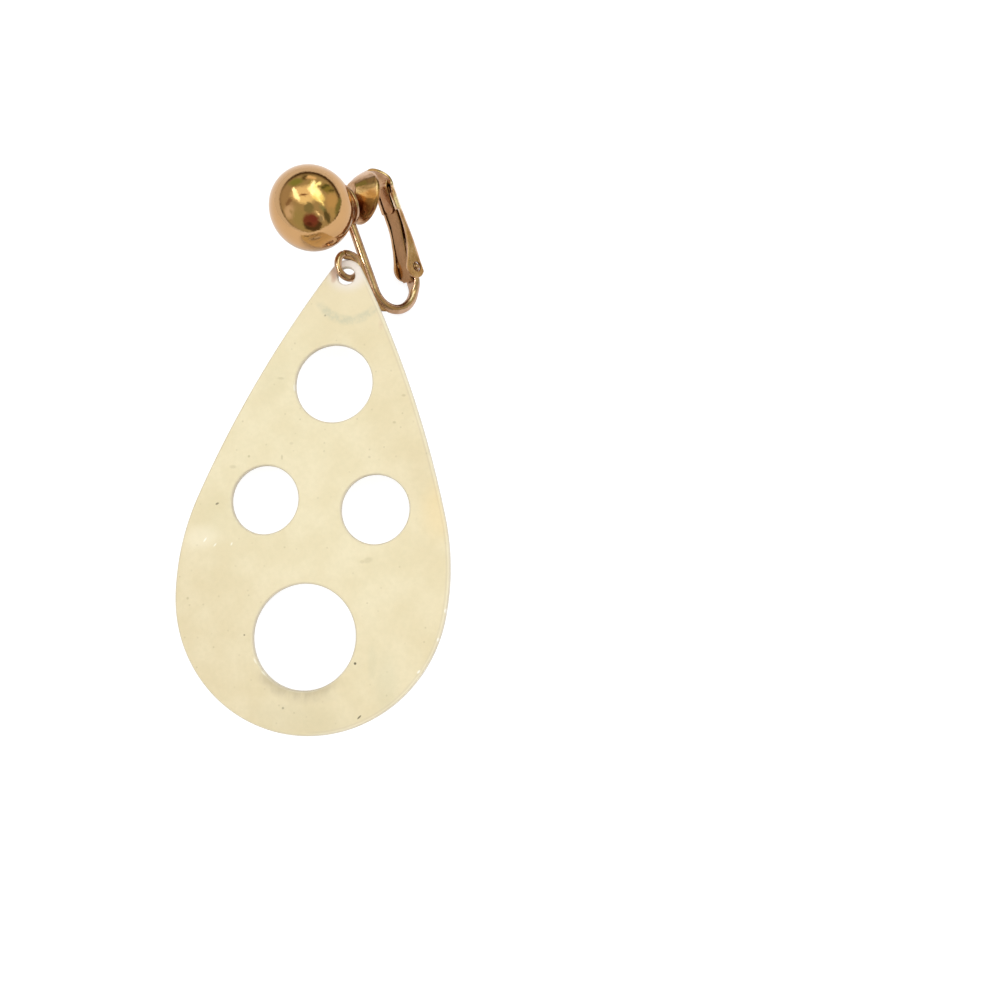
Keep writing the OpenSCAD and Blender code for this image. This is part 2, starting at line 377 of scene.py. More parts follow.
def vectors(tree, kind, *values):
    return node(tree, "ShaderNodeVectorMath", dict(enumerate(values)), operation=kind).outputs


def split(tree, vector):
    return node(tree, "ShaderNodeSeparateXYZ", {"Vector": vector}).outputs


def noise(tree, place, scale, detail, roughness=0.5):
    return node(tree, "ShaderNodeTexNoise", {"Vector": place, "Scale": scale, "Detail": detail,
                                             "Roughness": roughness}).outputs


def stretched(tree, place, scale):
    return node(tree, "ShaderNodeMapping", {"Vector": place, "Scale": scale}).outputs[0]


def kept_place(tree, name):
    """The place that a piece's mesh keeps for its finish, in millimetres."""
    return node(tree, "ShaderNodeAttribute", attribute_name=name).outputs["Vector"]


def bumped(tree, height, depth):
    """The normal of a height whose full step is a depth in millimetres."""
    return node(tree, "ShaderNodeBump", {"Height": height, "Strength": 1.0,
                                         "Distance": depth * MM}).outputs[0]


def finish(tree, inputs):
    """The Principled shader with its inputs, as the tree's surface."""
    shader = node(tree, "ShaderNodeBsdfPrincipled", inputs)
    node(tree, "ShaderNodeOutputMaterial", {"Surface": shader.outputs[0]})


def new_group(name, inputs, outputs):
    """A shader node group. Its inputs have names and defaults, and its outputs are floats."""
    tree = bpy.data.node_groups.new(name, "ShaderNodeTree")
    for label, value in inputs.items():
        kind = "NodeSocketVector" if isinstance(value, tuple) else "NodeSocketFloat"
        socket = tree.interface.new_socket(label, in_out="INPUT", socket_type=kind)
        socket.default_value = value
    for label in outputs:
        tree.interface.new_socket(label, in_out="OUTPUT", socket_type="NodeSocketFloat")
    return tree, tree.nodes.new("NodeGroupInput").outputs, tree.nodes.new("NodeGroupOutput").inputs


def soft_spot_group():
    """A soft-edged oval: the distance from its centre, turned and divided by its half size,
    stepped smoothly from 1 inside to 0 outside."""
    tree, start, end = new_group(
        "Soft spot", {"Place": (0, 0, 0), "Centre": (0, 0, 0), "Half size": (1, 1, 1),
                      "Turn": 0.0, "Softness": 0.3}, ["Mask"])
    away = vectors(tree, "SUBTRACT", start["Place"], start["Centre"])[0]
    turned = node(tree, "ShaderNodeVectorRotate", {"Vector": away, "Angle": start["Turn"]},
                  rotation_type="Z_AXIS", invert=True)
    scaled = vectors(tree, "DIVIDE", turned.outputs[0], start["Half size"])[0]
    far = vectors(tree, "LENGTH", scaled)["Value"]
    outer = maths(tree, "ADD", 1.0, start["Softness"])
    inner = maths(tree, "SUBTRACT", 1.0, start["Softness"])
    feed(tree, end["Mask"], ramp(tree, far, outer, inner))
    return tree


def mottle_group():
    """Slow and fine noise in one: cloudy patches and a fine grain, both from 0 to 1."""
    tree, start, end = new_group(
        "Mottle", {"Place": (0, 0, 0), "Patch scale": 0.3, "Grain scale": 3.0},
        ["Patches", "Grain"])
    for label, scale, detail, roughness in (("Patches", "Patch scale", 3.0, 0.55),
                                            ("Grain", "Grain scale", 4.0, 0.6)):
        cloud = noise(tree, start["Place"], start[scale], detail, roughness)["Fac"]
        feed(tree, end[label], ramp(tree, cloud, 0.3, 0.7))
    return tree


def polish_group():
    """Fine polishing lines: noise on a place that is stretched along the lines, kept where
    it is high, with patches where there are none."""
    tree, start, end = new_group(
        "Polishing lines", {"Place": (0, 0, 0), "Stretch": (1, 12, 12)}, ["Mask"])
    laid = stretched(tree, start["Place"], start["Stretch"])
    lines = ramp(tree, noise(tree, laid, 1.0, 3.0, 0.7)["Fac"], 0.56, 0.72)
    cover = ramp(tree, noise(tree, start["Place"], 0.8, 2.0)["Fac"], 0.42, 0.6)
    feed(tree, end["Mask"], times(tree, lines, cover))
    return tree


GROUPS = {}


def use_group(tree, maker, inputs):
    """A shared group, made at its first use, placed in a tree with values of its own."""
    if maker not in GROUPS:
        GROUPS[maker] = maker()
    return node(tree, "ShaderNodeGroup", inputs, node_tree=GROUPS[maker]).outputs


def spot_mask(tree, place, centre, half, turn, soft):
    """The mask of a soft spot, turned by degrees."""
    return use_group(tree, soft_spot_group,
                     {"Place": place, "Centre": centre, "Half size": half,
                      "Turn": math.radians(turn), "Softness": soft})["Mask"]


def spotted(tree, tone, place, spots):
    """A tone with soft spots laid on it in their order, each by its share."""
    for centre, half, turn, soft, share, colour in spots:
        mask = spot_mask(tree, place, centre, half, turn, soft)
        tone = tint(tree, times(tree, mask, share), tone, colour)
    return tone


def plated(name, bright, deep, rough, relief, stretch=ALONG_LEG, painted_light=()):
    """Rosy gold plating: a bright and a deep tone in patches, which partly paint a mottled
    reflection, spots of painted shade and highlight where given, polishing lines that roughen it,
    and a slight unevenness."""
    material = bpy.data.materials.new(name)
    tree = empty_tree(material)
    place = kept_place(tree, "worn")
    cloud = use_group(tree, mottle_group,
                      {"Place": place, "Patch scale": 0.45, "Grain scale": 4.0})
    lines = use_group(tree, polish_group, {"Place": place, "Stretch": stretch})["Mask"]
    # Patches of the bright and the deep tone, which partly paint a mottled reflection, then the
    # spots of painted shade and highlight
    tone = spotted(tree, tint(tree, cloud["Patches"], bright, deep), place, painted_light)
    worn = maths(tree, "MULTIPLY_ADD", lines, 0.16, rough)
    worn = maths(tree, "MULTIPLY_ADD", cloud["Grain"], 0.05, worn)
    level = maths(tree, "MULTIPLY_ADD", lines, -0.35, cloud["Grain"])
    level = maths(tree, "MULTIPLY_ADD", cloud["Patches"], 2.0, level)
    finish(tree, {"Base Color": tone, "Metallic": 1.0, "Roughness": worn,
                  "Normal": bumped(tree, level, relief)})
    return material


# Marks on the drop's enamel, in its own frame: tints, wear, darker places, painted glints, chips
# and specks
SPECK = (0.07, 0.05, 0.02)
STAIN = (0.42, 0.34, 0.18)
# White of the real chips, also used for the painted glints
CHIP_AND_GLINT = (0.95, 0.93, 0.88)
#    across   down     half size    turn  soft  share  colour
MARKS = [
    # Paler by the loop, tinted at the sides
    ((0.20, 0.60), (2.4, 2.2), 0, 0.5, 0.75, (0.82, 0.76, 0.74)),
    ((14.80, -28.0), (2.0, 3.2), 0, 0.6, 0.30, (0.80, 0.58, 0.26)),
    ((-14.3, -33.9), (1.9, 1.3), 20, 0.6, 0.45, (0.84, 0.76, 0.58)),
    ((-7.6, -14.0), (1.6, 2.6), -25, 0.6, 0.22, (0.56, 0.48, 0.28)),
    ((-12.3, -31.0), (3.0, 2.4), 30, 0.6, 0.18, (0.56, 0.48, 0.26)),
    ((10.60, -49.0), (1.3, 3.4), 8, 0.6, 0.20, (0.50, 0.48, 0.32)),
    ((8.60, -46.6), (0.5, 1.9), 5, 0.6, 0.18, (0.50, 0.48, 0.32)),
    ((0.50, -54.2), (5.5, 1.8), 0, 0.6, 0.18, (0.52, 0.48, 0.32)),
    # Wear by the loop
    ((-1.60, 0.30), (0.45, 0.9), 15, 0.5, 0.60, (0.50, 0.27, 0.15)),
    ((-1.55, -0.60), (0.30, 0.4), 0, 0.5, 0.40, (0.46, 0.25, 0.15)),
    ((5.10, -6.05), (0.28, 0.6), 12, 0.5, 0.20, (0.62, 0.40, 0.28)),
    # The two darkest places of the darkening under the lowest hole
    ((-3.20, -50.6), (2.0, 0.8), -32, 0.6, 0.16, (0.42, 0.35, 0.24)),
    ((1.90, -51.5), (2.6, 0.7), 10, 0.6, 0.16, (0.42, 0.35, 0.24)),
    # Painted glints: highlights on the glossy enamel
    ((-13.79, -34.2), (0.30, 0.09), 60, 0.5, 0.60, CHIP_AND_GLINT),
    ((-12.44, -34.7), (0.24, 0.08), 55, 0.5, 0.55, CHIP_AND_GLINT),
    ((-10.36, -34.4), (0.20, 0.09), 70, 0.5, 0.50, CHIP_AND_GLINT),
    # Chips at the rims
    ((16.76, -39.9), (0.22, 0.26), 0, 0.4, 0.85, CHIP_AND_GLINT),
    ((16.15, -43.3), (0.14, 0.22), -15, 0.4, 0.75, CHIP_AND_GLINT),
    ((14.25, -47.2), (0.11, 0.24), -35, 0.5, 0.60, CHIP_AND_GLINT),
    ((-4.85, -14.6), (0.13, 0.40), 10, 0.5, 0.60, CHIP_AND_GLINT),
    ((-5.60, -48.0), (0.10, 0.35), 35, 0.5, 0.40, CHIP_AND_GLINT),
    ((-4.40, -49.3), (0.10, 0.35), 50, 0.5, 0.40, CHIP_AND_GLINT),
    # Specks
    ((6.58, -47.05), (0.15, 0.15), 0, 0.35, 0.95, SPECK),
    ((7.78, -53.13), (0.30, 0.09), 50, 0.4, 0.85, SPECK),
    ((-12.84, -29.67), (0.22, 0.12), 30, 0.4, 0.75, SPECK),
    ((-1.50, -53.09), (0.14, 0.14), 0, 0.4, 0.45, SPECK),
    ((-7.33, -45.10), (0.11, 0.11), 0, 0.4, 0.60, SPECK),
    ((-2.07, -5.24), (0.12, 0.12), 0, 0.4, 0.45, SPECK),
    ((-15.02, -41.44), (0.15, 0.15), 0, 0.4, 0.50, STAIN),
    ((8.92, -14.60), (0.24, 0.15), 0, 0.5, 0.45, STAIN),
    ((8.13, -18.00), (0.20, 0.14), 0, 0.5, 0.50, STAIN),
    ((6.75, -34.85), (0.55, 0.32), 20, 0.5, 0.32, STAIN),
    ((6.05, -35.10), (0.25, 0.20), 0, 0.5, 0.30, STAIN),
    ((-9.57, -23.53), (0.15, 0.15), 0, 0.4, 0.60, STAIN),
    ((-5.37, -23.33), (0.12, 0.30), 10, 0.4, 0.50, STAIN),
    ((5.52, -22.46), (0.16, 0.14), 0, 0.5, 0.40, STAIN),
    ((-4.40, -21.52), (0.24, 0.16), 0, 0.5, 0.30, STAIN),
    ((-6.74, -13.53), (0.40, 0.16), 0, 0.5, 0.35, STAIN),
    ((-11.44, -24.98), (0.40, 0.20), 0, 0.5, 0.30, STAIN),
]
FACE = 0.35  # height of the drop's front face, where its marks are
# The rims' painted shade, and the colour of the sheet's side
RIM_SHADE, WALL_TONE = (0.60, 0.54, 0.42), (0.64, 0.56, 0.42)


def enamel(name, base, pale):
    """Glossy cream enamel, mottled, with an orange peel, painted shade along its rims, a grey arc,
    a darkening under the lowest hole, the right flank's painted edge highlight and shade, painted
    glints, and the specks, chips and wear at their places on the drop."""
    material = bpy.data.materials.new(name)
    tree = empty_tree(material)
    plan = kept_place(tree, "plan")
    at = split(tree, plan)
    # How far the outline and the nearest hole are
    near = split(tree, kept_place(tree, "rims"))
    outline, hole = near["X"], near["Y"]
    cloud = use_group(tree, mottle_group,
                      {"Place": plan, "Patch scale": 0.22, "Grain scale": 1.8})
    tone = tint(tree, cloud["Patches"], base, pale)
    tone = tint(tree, times(tree, cloud["Grain"], 0.22), tone,
                np.array(base) * (0.86, 0.88, 0.84))
    tone = tint(tree, ramp(tree, at["Y"], -9.0, -2.0, 0.0, 0.5), tone, pale)

    # Faint flecks: the middles of some cells of a net of cells
    cells = node(tree, "ShaderNodeTexVoronoi", {"Vector": plan, "Scale": 0.55},
                 voronoi_dimensions="2D").outputs
    pick = node(tree, "ShaderNodeSeparateColor", {"Color": cells["Color"]}).outputs["Red"]
    fleck = times(tree, ramp(tree, cells["Distance"], 0.09, 0.03),
                  ramp(tree, pick, 0.55, 1.0, 0.0, 0.4))
    tone = tint(tree, fleck, tone, STAIN)

    # A grey arc: a soft ring about a point below the loop
    away = vectors(tree, "DISTANCE", plan, (0.7, -1.6, FACE))["Value"]
    grey_arc = times(tree, ramp(tree, gap(tree, away, 4.05), 0.85, 0.2),
                  ramp(tree, at["Y"], -3.2, -4.6))
    grey_arc = times(tree, grey_arc, ramp(tree, cloud["Grain"], 0.0, 0.9, 0.25, 0.6))
    tone = tint(tree, grey_arc, tone, (0.50, 0.48, 0.34))

    # A brownish darkening along the lowest hole's lower rim, drawn out downwards
    streak = noise(tree, stretched(tree, plan, (1.5, 0.5, 1.0)), 1.0, 3.0)["Fac"]
    reach = maths(tree, "MULTIPLY_ADD", streak, 2.4, -0.5)
    low = times(tree, ramp(tree, at["Y"], -48.5, -50.6),
                ramp(tree, maths(tree, "SUBTRACT", hole, reach), 1.0, -0.7))
    low = times(tree, low, ramp(tree, hole, 2.4, 0.0, 0.0, 0.52))
    tone = tint(tree, low, tone, (0.36, 0.29, 0.18))

    # The right flank's rounded edge as the light falls on it: a thin lilac-grey line of painted
    # shade, and a pale band of painted highlight outside it
    right = ramp(tree, at["X"], 1.0, 3.5)
    line = ramp(tree, gap(tree, outline, 0.42), 0.16, 0.04, 0.0, 0.22)
    tone = tint(tree, times(tree, right, line), tone, (0.50, 0.42, 0.33))
    flank_highlight = ramp(tree, outline, 0.36, 0.26, 0.0, 0.25)
    tone = tint(tree, times(tree, right, flank_highlight), tone, (0.86, 0.81, 0.68))

    tone = spotted(tree, tone, plan, [((*centre, FACE), (*half, 1), *rest)
                                      for centre, half, *rest in MARKS])
    # Painted shade along every rim of the outline and the holes
    edge = maths(tree, "MINIMUM", outline, hole)
    tone = tint(tree, ramp(tree, edge, 0.3, 0.05, 0.0, 0.5), tone, RIM_SHADE)
    high = maths(tree, "ABSOLUTE", at["Z"])
    tone = tint(tree, ramp(tree, high, 0.3, 0.12), tone, WALL_TONE)
    level = maths(tree, "MULTIPLY_ADD", cloud["Patches"], 3.0, cloud["Grain"])
    finish(tree, {"Base Color": tone, "Roughness": 0.35, "Coat Weight": 0.6,
                  "Coat Roughness": 0.12, "Normal": bumped(tree, level, 0.004)})
    return material


# Settings


def length_of(label, text, mm):
    return FloatProperty(name=label, description=text, unit="LENGTH", default=mm * MM,
                         precision=5)


def angle_of(label, text, degrees):
    return FloatProperty(name=label, description=text, subtype="ANGLE",
                         default=math.radians(degrees))


def number_of(label, text, value):
    return FloatProperty(name=label, description=text, default=value)


def colour_of(label, text, colour):
    return FloatVectorProperty(name=label, description=text, subtype="COLOR", size=3,
                               default=colour)


class BallSettings(PropertyGroup):
    """The polished ball."""
    radius: length_of("Radius", "Radius of the ball", (BALL_BOX[1] - BALL_BOX[0])[2] / 2 / MM)
    colour: colour_of("Colour", "Colour of the polished plating", (0.62, 0.36, 0.16))


class WireSettings(PropertyGroup):
    """The dish, the bent wire, the loop and the hinge pin."""
    dish_radius: length_of("Dish", "Radius of the dish", 2.55)
    leg_radius: length_of("Leg", "Radius of the wire below the dish", 0.54)
    bend_radius: length_of("Bend", "Radius of the wire in the bend", 0.62)
    loop_radius: length_of("Loop", "Radius of the loop's ring", 1.52)
    loop_wire: length_of("Loop wire", "Radius of the loop's wire", 0.44)
    pin_radius: length_of("Pin", "Radius of the hinge pin", 0.45)
    bright: colour_of("Bright", "Bright tone of the plating", (0.64, 0.43, 0.30))
    deep: colour_of("Deep", "Deep tone of the plating", (0.44, 0.26, 0.15))


class LeverSettings(PropertyGroup):
    """The stamped lever and its leaf spring."""
    plate: length_of("Metal", "Thickness of the lever's metal", 0.36)
    cup_radius: length_of("Cup", "Radius of the cup at its rim", 3.35)
    flutes: IntProperty(name="Flutes", description="Flutes round the cup", default=20,
                        min=12, max=28)
    leaf_width: length_of("Leaf", "Width of the leaf spring", 1.9)
    leaf_thick: length_of("Leaf metal", "Thickness of the leaf spring", 0.22)
    bright: colour_of("Bright", "Bright tone of the plating", (0.70, 0.45, 0.28))
    deep: colour_of("Deep", "Deep tone of the plating", (0.48, 0.26, 0.12))
    leaf: colour_of("Leaf tone", "Tone of the leaf spring", (0.40, 0.21, 0.095))


class DropSettings(PropertyGroup):
    """The enamelled teardrop."""
    length: length_of("Length", "Length of the teardrop", 58.2)
    end_radius: length_of("End", "Radius of the broad end", 16.8)
    side_radius: length_of("Sides", "Radius above the broad end", 30)
    top_radius: length_of("Top", "Radius of the round top", 2.1)
    sheet: length_of("Sheet", "Thickness of the enamelled sheet", 0.7)
    pitch: angle_of("Pitch", "How far its loop end is raised", 7.66)
    roll: angle_of("Roll", "How far its left side is lowered", -3.94)
    cream: colour_of("Cream", "Colour of the enamel", (0.685, 0.58, 0.365))
    pale: colour_of("Pale", "Colour of the paler enamel", (0.73, 0.63, 0.42))


class StageSettings(PropertyGroup):
    """The table, the light and the camera."""
    floor: colour_of("Table", "Colour of the table", (0.9, 0.9, 0.9))
    glow: number_of("Table glow", "Light that the table gives off itself", 0.85)
    shadow: number_of("Table shade", "How strongly shadows show on it", 0.32)
    sky: number_of("Sky", "Strength of the light from all sides", 0.62)
    light: number_of("Light", "Power of the soft lights", 0.74)
    lens: number_of("Lens", "Focal length of the camera in mm", 30.6)


class EarringSettings(PropertyGroup):
    """All the earring's settings."""
    ball: PointerProperty(type=BallSettings)
    wire: PointerProperty(type=WireSettings)
    lever: PointerProperty(type=LeverSettings)
    drop: PointerProperty(type=DropSettings)
    stage: PointerProperty(type=StageSettings)


# The ball


class EARRING_OT_ball(Operator):
    """Make the polished ball: a half circle turned round the clip's X axis."""
    bl_idname = "earring.ball"
    bl_label = "Ball"

    def execute(self, context):
        s = context.scene.earring.ball
        profile = arc((0, 0), s.radius / MM, 180, 0, 96)
        profile[[0, -1], 1] = 0
        pts, faces = lathe(profile, 128)
        skin = plated("Ball mirror", s.colour, np.array(s.colour) * 0.97, 0.03, 0.002,
                      (0.8, 9, 9))
        clip_piece("polished_ball", [(pts + BALL_OFF, faces)], "earring",
                   "ball", skin, sharp=80)
        return {"FINISHED"}


# The wire frame and the pin


def dish(radius):
    """The turned dish: a seat round the ball, a collar with the disc on it, and a flat back,
    all a little below the ball's middle."""
    seat = arc((0, 0), SEAT_R, 0, 24, 8)
    seat[0, 1] = 0
    back = DISH_X + DISH_THICK
    outside = fillet([seat[-1], (COLLAR_X, COLLAR_R), (DISH_X, COLLAR_R), (DISH_X, radius),
                      (back, radius), (back, 0)], [0, 0.05, 0.03, 0.1, 0.14, 0])
    pts, faces = lathe(np.vstack([seat, outside[1:]]), 96)
    return pts + (0, DISH_DOWN, 0), faces


def bent_wire(leg_r, bend_r):
    """The leg, the half circle of the bend and the rise to the hinge, swept as one wire. Its
    radius grows down the leg from a rounded top, and its end is pressed into the flat head
    that the hinge's barrel is in."""
    head_long, head_blend = 3.1, 2
    rise = np.linspace(BEND_Y, PIN[1] - 0.35, 9)[1:]
    run = np.vstack([
        np.stack([np.full(40, LEG_X), np.linspace(LEG_TOP, BEND_Y, 40, False)], 1),
        arc((LEG_X + BEND_R, BEND_Y), BEND_R, 180, 360, 60),
        np.stack([np.full(8, LEG_X + 2 * BEND_R), rise], 1)])
    far = lengths_along(run)
    down = np.clip(far / (LEG_TOP - BEND_Y), 0, 1)
    round_r = (leg_r + (bend_r - leg_r) * down) * np.clip(0.5 + 0.6 * far, 0, 1)
    head = smooth((far - far[-1] + head_long) / head_blend)
    half_w, half_t, corner = (round_r + (flat - round_r) * head for flat in (1.0, 0.45, 0.22))
    return sweep(run, half_w, half_t, corner, (leg_r, 0.1), steps=6)


def flange():
    """The flat plate brazed to the leg, which reaches out to the loop above."""
    rim = fillet(
        [(2.46, -5.76), (3.1, -5.9), (3.84, -6.3), (4.4, -6.9), (LEG_X, -7.2), (LEG_X, -12),
         (6.2, -13.7), (6.2, -14.1), (5.1, -13.75), (4.42, -12.6), (4.2, -11.2), (4.0, -9.8),
         (3.85, -8.8), (3.74, -7.9), (3.6, -7.25), (3.3, -6.8), (2.9, -6.55), (2.44, -6.4)],
        [0.1, 0.5, 0.8, 0.3, 0, 0, 0.1, 0.1, 0.5, 0.8, 1, 1, 1, 0.5, 0.3, 0.3, 0.3, 0.1], True)
    return plate([resample(rim, 0.12, True)], thick=0.44, edge_r=0.14, spacing=0.3)


class EARRING_OT_wire_frame(Operator):
    """Make the dish, the leg, the bend, the hinge head and the loop, as one soldered piece."""
    bl_idname = "earring.wire_frame"
    bl_label = "Wire frame"

    def execute(self, context):
        s = context.scene.earring.wire
        wire_r = s.loop_wire / MM
        ring = sweep(arc(LOOP, s.loop_radius / MM, 97, 446, 88), wire_r, wire_r,
                     wire_r * 0.999, (0.06, 0.06), steps=6)
        bore, barrel_r = 0.49, 0.76
        barrel = along_pin(lathe(fillet(
            [(-1, bore), (-1, barrel_r), (1, barrel_r), (1, bore), (-1, bore)],
            [0, 0.1, 0.1, 0, 0]), 48))
        parts = [dish(s.dish_radius / MM), bent_wire(s.leg_radius / MM, s.bend_radius / MM),
                 ring, barrel] + flange()
        skin = plated("Wire plating", s.bright, s.deep, 0.12, 0.006)
        strip_lit().objects.link(
            clip_piece("wire_frame", parts, "earring", "clip_frame", skin))
        return {"FINISHED"}


class EARRING_OT_hinge_pin(Operator):
    """Make the hinge pin, a turned rivet with a domed end on each side."""
    bl_idname = "earring.hinge_pin"
    bl_label = "Hinge pin"

    def execute(self, context):
        s = context.scene.earring.wire
        r = s.pin_radius / MM
        half = fillet([(0, r), (1.4, r), (1.4, r - 0.1), (1.6, r - 0.1), (1.72, r - 0.22),
                       (1.74, 0)], [0, 0.02, 0.02, 0.06, 0.1, 0])
        profile = np.vstack([half[::-1] * (-1, 1), half[1:]])
        skin = plated("Pin plating", s.bright, s.deep, 0.14, 0.004, FRONT_TO_BACK)
        clip_piece("rivet_pin", [along_pin(lathe(profile, 48))], "earring",
                   "hinge_pin", skin)
        return {"FINISHED"}


# The lever


# The lever's sheet follows this line: the neck from the cup's rim, the bend and the back
# with its slight knee
BACK_R, KNEE = 1.92, (12.92, -8.8)
LEVER_LINE = resample(fillet(
    [(9.8, 2.6), (10.4, 2.84), (12.5, 2.84), (12.5, -2.8), KNEE, (13.14, -11.73)],
    [0, 0.4, BACK_R, 12, 0, 0], steps=24), 0.02)
LEVER_RUN = unit(np.gradient(LEVER_LINE, axis=0))
LEVER_FAR = lengths_along(LEVER_LINE)

# How far along the line the bend begins: where the neck, its first points, reaches this X
BEND_X, NECK = 10.55, slice(60)
BEND_FAR = float(np.interp(BEND_X, LEVER_LINE[NECK, 0], LEVER_FAR[NECK]))

# The channel: half its flat middle, the fold's radius and its length of sheet, the heights
# between which it folds up, and its widening above the hinge. UNFOLDED, a share near 0,
# keeps the fold's radius finite where there is no fold.
FLAT_HALF, FOLD_R = 1.02, 0.3
FOLD = FOLD_R * math.pi / 2
FOLD_FROM, FOLD_TO, UNFOLDED = 0.8, 0.3, 1e-4
SPREAD, SPREAD_FROM, SPREAD_OVER = 0.17, -9.5, 3
BACK_TOP = 0.85


def lever_place(pts):
    """Bends the flat pattern, whose second coordinate runs along the lever's line. Across
    it, the middle stays flat, then an arc of FOLD_R turns each side forwards through a share
    of a quarter turn, which grows from 0 at FOLD_FROM to 1 at FOLD_TO. Above the hinge the
    channel is wider by the share SPREAD."""
    u, v, w = pts.T
    mid, run = (np.stack([np.interp(v, LEVER_FAR, line[:, k]) for k in (0, 1)], 1)
                for line in (LEVER_LINE, LEVER_RUN))
    run = unit(run)
    out = np.stack([-run[:, 1], run[:, 0]], 1)
    share = np.maximum(smooth((FOLD_FROM - mid[:, 1]) / (FOLD_FROM - FOLD_TO)), UNFOLDED)
    phi = share * np.clip((np.abs(u) - FLAT_HALF) / FOLD_R, 0, math.pi / 2)
    full = share * math.pi / 2
    past = np.maximum(np.abs(u) - FLAT_HALF - FOLD, 0)
    radius = FOLD_R / share
    across = np.minimum(np.abs(u), FLAT_HALF) + radius * np.sin(phi) + past * np.cos(full)
    across *= 1 + SPREAD * share * np.clip((mid[:, 1] - SPREAD_FROM) / SPREAD_OVER, 0, 1)
    deep = radius * (1 - np.cos(phi)) + past * np.sin(full)
    xy = mid + (w * np.cos(phi) - deep)[:, None] * out
    return np.column_stack([xy, np.sign(u) * (across + w * np.sin(phi))])


def wall_pattern(xy):
    """The place on the flat pattern of a point on the side wall, given in the clip's XY: how
    far the nearest point of the back's line is, and how far along it is."""
    back = LEVER_LINE[:, 1] < BACK_TOP
    away = np.linalg.norm(np.atleast_2d(xy)[:, None, :] - LEVER_LINE[back], axis=-1)
    return np.stack([away.min(1) - FOLD_R + FLAT_HALF + FOLD,
                     LEVER_FAR[back][away.argmin(1)]], 1)


def lever_outline():
    """The flat pattern's rim: the neck that widens round the bend, the step up to the wall,
    the wall's front edge that swings out as a parabola to the round ear, and the end of the
    back between the ears."""
    meet_at, lobe_to = 151.3, 139
    meet = EAR + EAR_R * bearing(meet_at)
    t = np.linspace(0, 1, 20)
    swing = wall_pattern(np.stack([CHANNEL_FRONT + (meet[0] - CHANNEL_FRONT) * t * t,
                                   SWING_TOP + (meet[1] - SWING_TOP) * t], 1))
    top = wall_pattern([(12.17, 0.42), (11.97, -0.2), (11.88, -1.0), (11.86, -2.35),
                        (12.03, -2.75)])
    ear = wall_pattern(EAR)[0]
    first = math.degrees(math.atan2(swing[-1, 1] - ear[1], swing[-1, 0] - ear[0]))
    lobe = arc(ear, EAR_R, first, lobe_to, 30)[1:]
    back = wall_pattern(KNEE)[0, 1]
    #        half width, degrees round the bend
    neck = [(wide, BEND_FAR + math.radians(turn) * BACK_R) for wide, turn in
            ((0.56, 8), (0.58, 20), (0.67, 32), (0.79, 43), (1.07, 60), (1.33, 74))]
    half = np.vstack([
        fillet([(0, 0), (0.46, 0), (0.54, 0.4), *neck, *top, swing[0]],
               [0, 0.12, 1.0, *[1.5] * 5, 0.15, 0.12, 0.3, 0.5, 0.15, 0.2, 0]),
        swing[1:], lobe,
        fillet([lobe[-1], (1.3, back), (0, back)], [0, 0.25, 0])[1:]])
    return mirrored(half)


def lever_sheet(thick):
    """The neck, the back and the side walls with their ears: the flat pattern with a hole
    for the pin in each ear, bent along the lever's line."""
    hole, hole_r = wall_pattern(PIN)[0], 0.64
    rims = [resample(lever_outline(), 0.1, True)]
    rims += [arc(hole * (side, 1), hole_r, 360, 0, 40)[1:] for side in (1, -1)]
    return [(lever_place(pts), faces)
            for pts, faces in plate(rims, thick, edge_r=0.06, spacing=0.14)]


def cup(thick, rim, flutes):
    """The fluted cup: an outer and an inner profile joined by a round lip and turned, with
    flutes that fade out at its flat middle and at its lip, then leaned and put in place."""
    deep, lip = -2.3, -0.1
    outer = fillet([(deep, 0), (deep, 0.39 * rim), (-1.3, 0.75 * rim), (-0.42, rim - 0.05),
                    (lip, rim)], [0, 0.45, 3.0, 0.3, 0])
    inner = fillet([(lip, rim - thick * 0.8), (-0.34, rim - thick),
                    (-1.18, 0.75 * rim - 0.2), (thick + deep, 0.39 * rim - 0.15),
                    (thick + deep, 0)], [0, 0.2, 3.0, 0.3, 0])
    edge = arc((lip, rim - thick * 0.4), thick * 0.4, 90, -90, 8)[1:-1]
    profile = np.vstack([resample(outer, 0.09), edge, resample(inner, 0.12)])
    x, r = profile[:, :1], profile[:, 1:]
    depth = 0.003 * np.clip((r - 0.9) / 0.8, 0, 1) * np.clip((-0.35 - x) / 0.3, 0, 1)
    pts, faces = lathe(profile, 12 * flutes, flutes, depth)
    lean = np.array(Matrix.Rotation(math.radians(-28), 3, "Z"))
    return pts @ lean.T + (8.5, -0.22, 0), faces


def tongue():
    """The tongue that holds the leaf spring: a strip bent in from the back's bend, whose
    width ends in a half circle."""
    half, end = 0.85, -2.85
    line = resample(fillet([(12.52, 1.5), (12.2, 0.95), (11.86, 0.55), (11.86, end)],
                           [0, 0.5, 0.5, 0]), 0.05)
    left = np.minimum((line[:, 1] - end) / half, 1)
    half_w = half * np.sqrt(np.clip(1 - (1 - left) ** 2, 0.0004, 1))
    return sweep(line, half_w, 0.12, np.minimum(0.06, 0.8 * half_w), (0.02, 0.02))


def hems():
    """The two folded hems beside the tongue: a straight strip, moved to each side."""
    line = np.stack([np.full(24, 11.87), np.linspace(-0.5, -2.55, 24)], 1)
    pts, faces = sweep(line, 0.26, 0.13, 0.05, (0.05, 0.05))
    return [(pts + (0, 0, side * 1.42), faces) for side in (1, -1)]


